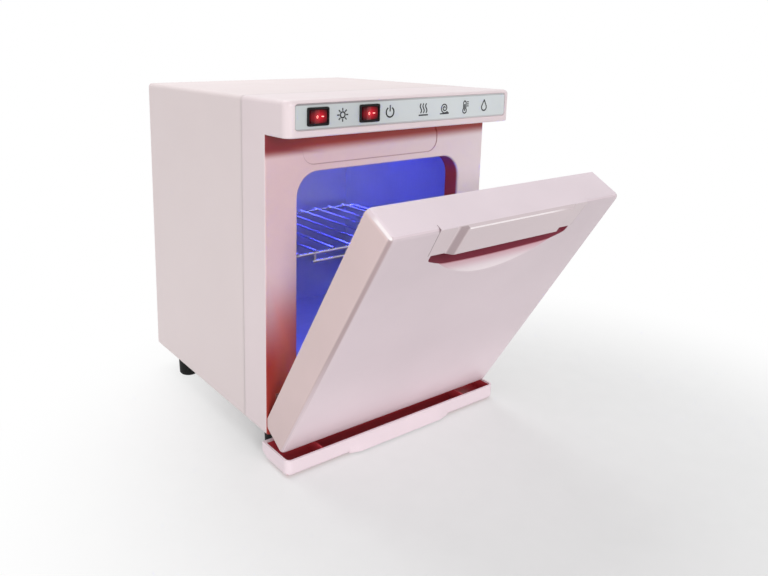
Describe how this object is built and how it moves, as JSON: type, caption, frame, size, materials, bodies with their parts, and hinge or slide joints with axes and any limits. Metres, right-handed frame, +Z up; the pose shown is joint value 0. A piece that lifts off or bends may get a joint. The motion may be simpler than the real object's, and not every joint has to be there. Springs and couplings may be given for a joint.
{
  "type": "towel warmer",
  "caption": "Countertop hot-towel cabinet with a pull-down door, hood with lit rocker switches, blue-lit heated chamber with a wire shelf, and a slide-out drip tray.",
  "frame": {"origin": "on the worktop under the feet, at the middle of the bounding box in plan with the door open as stored", "axes": "+X to the right seen from the front, +Y into the cabinet (the door side faces -Y), +Z up"},
  "size_m": [0.26, 0.4059, 0.325],
  "materials": {
    "pink_paint": "satin powder coat",
    "pink_plastic": "satin moulded",
    "plate_silver": "satin printed film",
    "black_plastic": "moulded",
    "lit_red": "translucent, lit from inside",
    "liner_metal": "plain sheet",
    "wire_steel": "bright wire",
    "zinc_steel": "zinc plated",
    "lamp_glass": "clear tube, glowing blue-violet",
    "tray_guide": "moulded",
    "white_plastic": "moulded",
    "black_rubber": "moulded",
    "white_rubber": "moulded silicone",
    "heater_foil": "silicone heater mat",
    "brass": "plain",
    "magnet": "ferrite"
  },
  "bodies": {
    "cabinet": {"case_wrap": "pink_paint", "base_plate": "zinc_steel", "rear_panel": "pink_paint", "front_bezel": "pink_plastic", "control_plate": "plate_silver", "uv_switch_housing": "black_plastic", "power_switch_housing": "black_plastic", "switch_terminals": "brass", "cavity_liner": "liner_metal", "liner_screws": "zinc_steel", "shelf_rail_left": "liner_metal", "shelf_rail_right": "liner_metal", "wire_shelf": "wire_steel", "lamp_reflector": "liner_metal", "uv_tube": "lamp_glass", "uv_tube_caps": "liner_metal", "lamp_holders": "white_plastic", "lamp_guard": "liner_metal", "heater_mat": "heater_foil", "thermostat": "black_plastic", "thermal_fuse": "white_plastic", "ballast": "black_plastic", "ballast_screws": "zinc_steel", "terminal_block": "white_plastic", "power_inlet": "black_plastic", "inlet_pins": "brass", "inlet_screws": "zinc_steel", "rear_screws": "zinc_steel", "foot_front_left": "black_rubber", "foot_front_right": "black_rubber", "foot_rear_left": "black_rubber", "foot_rear_right": "black_rubber", "foot_screws": "zinc_steel", "foot_nuts": "zinc_steel", "hinge_bracket_left": "zinc_steel", "hinge_bracket_right": "zinc_steel", "hinge_pins": "zinc_steel", "hinge_screws": "zinc_steel", "catch_magnet": "magnet", "tray_guide_left": "tray_guide", "tray_guide_right": "tray_guide"},
    "door": {"door_shell": "pink_plastic", "door_inner_panel": "pink_plastic", "door_gasket": "white_rubber", "door_handle": "pink_plastic", "strike_plate": "zinc_steel", "door_screws": "zinc_steel"},
    "uv_rocker": {"uv_rocker": "lit_red"},
    "power_rocker": {"power_rocker": "lit_red"},
    "drip_tray": {"drip_tray": "pink_plastic"}
  },
  "joints": [
    {"name": "door_hinge", "type": "hinge", "parent": "cabinet", "child": "door", "pos_m": [0, -0.05195, 0.0455], "axis": [1, 0, 0], "range_deg": [-31, 0]},
    {"name": "uv_rocker_tilt", "type": "hinge", "parent": "cabinet", "child": "uv_rocker", "pos_m": [-0.1, -0.07315, 0.3115], "axis": [0, 0, 1], "range_deg": [-20, 0]},
    {"name": "power_rocker_tilt", "type": "hinge", "parent": "cabinet", "child": "power_rocker", "pos_m": [-0.047, -0.07315, 0.3115], "axis": [0, 0, 1], "range_deg": [-20, 0]},
    {"name": "drip_tray_slide", "type": "slide", "parent": "cabinet", "child": "drip_tray", "axis": [0, -1, 0], "range_m": [0, 0.065]}
  ]
}
